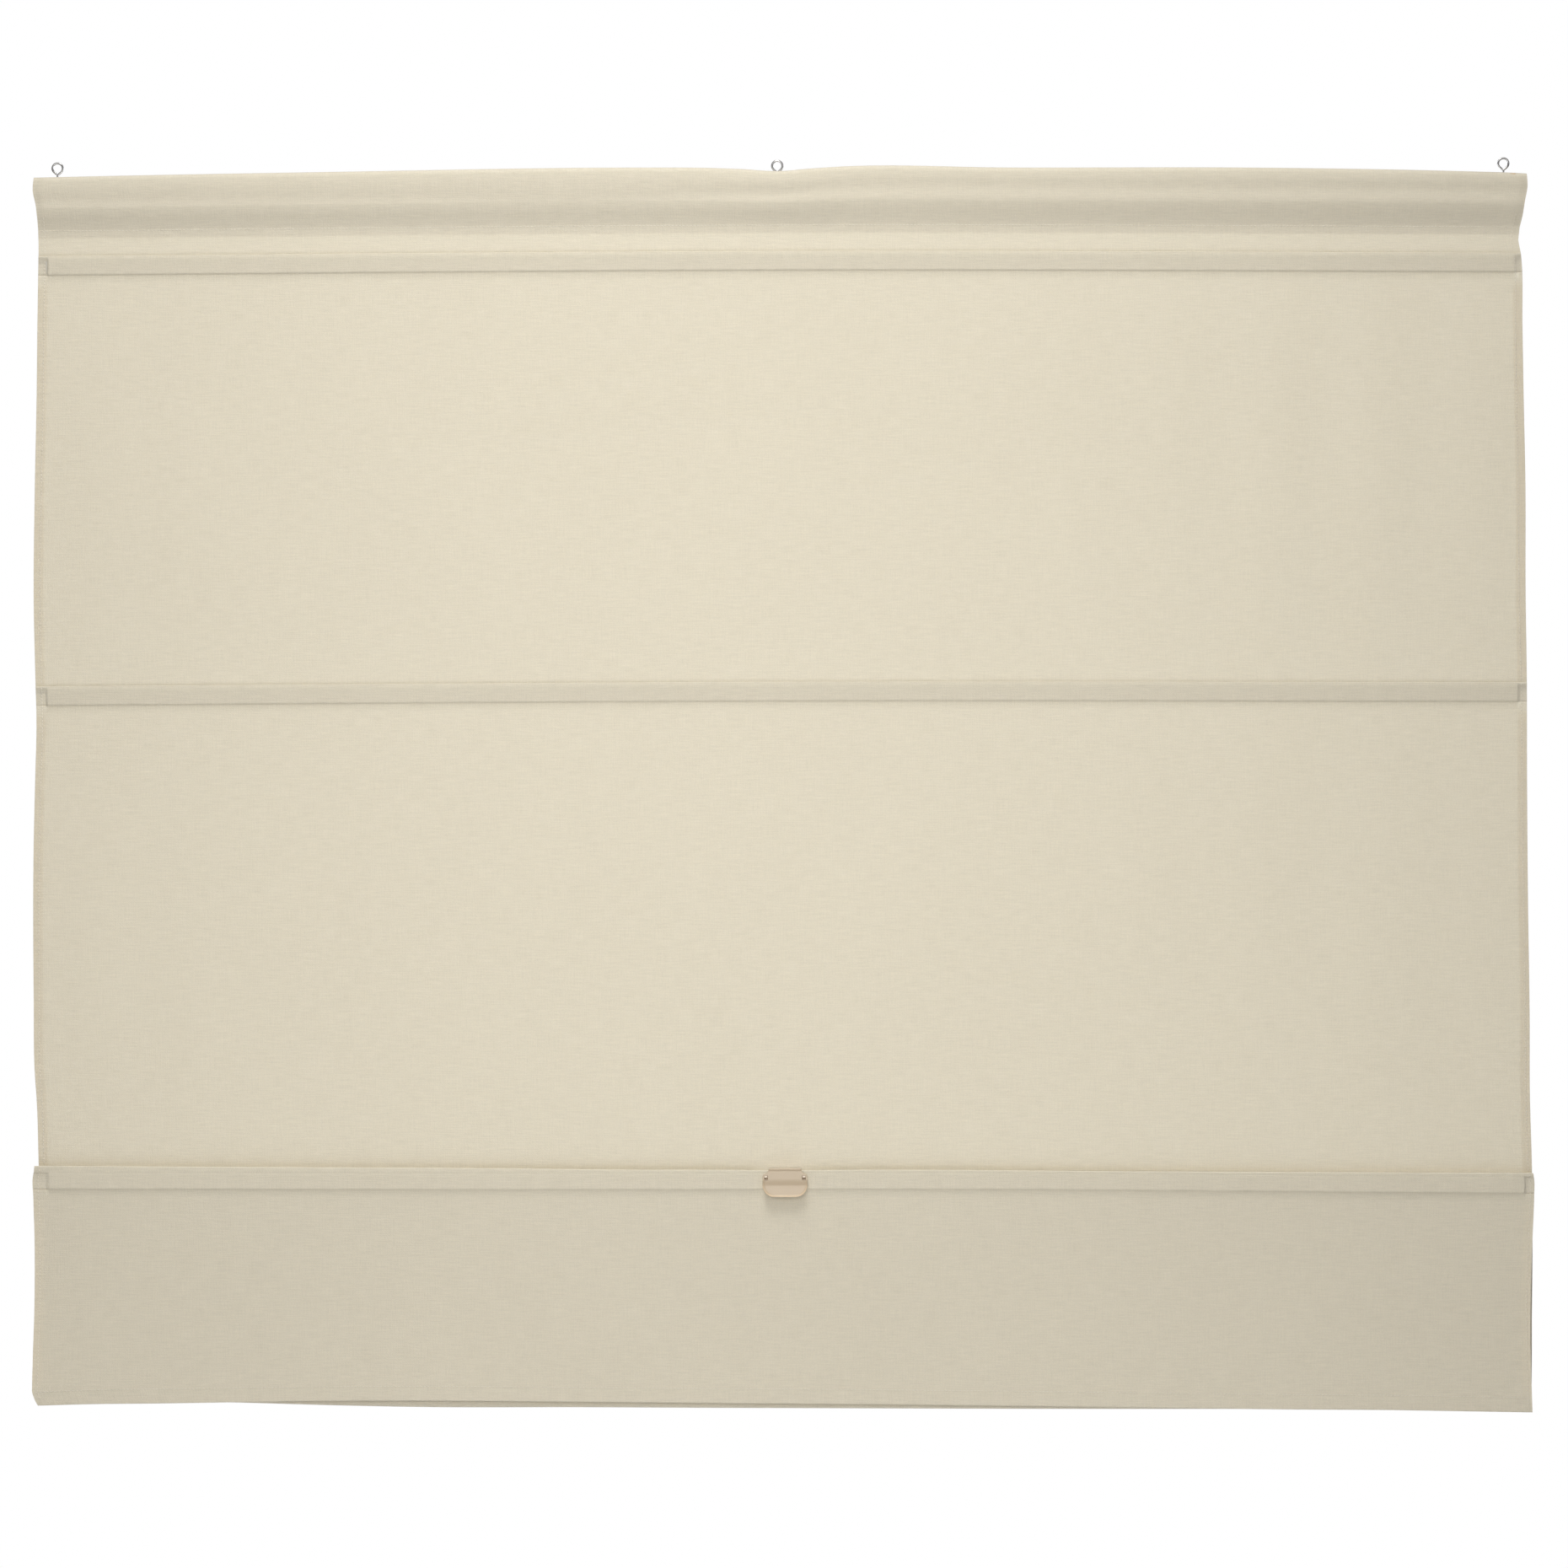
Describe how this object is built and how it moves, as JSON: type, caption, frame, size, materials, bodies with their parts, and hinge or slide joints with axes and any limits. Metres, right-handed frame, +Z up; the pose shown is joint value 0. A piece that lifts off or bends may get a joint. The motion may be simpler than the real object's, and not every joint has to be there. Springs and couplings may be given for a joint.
{
  "type": "roman blind",
  "caption": "Cordless roman blind in beige cloth with slats in sewn tucks, hung by wire eyes, its lowest pleat clipped up with a small grip.",
  "frame": {"origin": "centre of the middle screw eye's ring, where the blind hangs", "axes": "+X along the width to the right as seen from the room, -Y towards the room, +Z up"},
  "size_m": [1.4, 0.0257, 1.1718],
  "materials": {
    "cloth": "plain weave, matt",
    "wood": "planed pine, untreated",
    "plated_wire": "nickel plated, bright",
    "slat": "satin",
    "clip_plastic": "satin",
    "grip_plastic": "satin"
  },
  "bodies": {
    "root": {"fabric": "cloth", "top_batten": "wood", "screw_eye_left": "plated_wire", "screw_eye_centre": "plated_wire", "screw_eye_right": "plated_wire", "slat_1": "slat", "slat_2": "slat", "slat_3": "slat", "slat_4": "slat", "hook_clip": "clip_plastic", "pull_grip": "grip_plastic"}
  },
  "joints": []
}
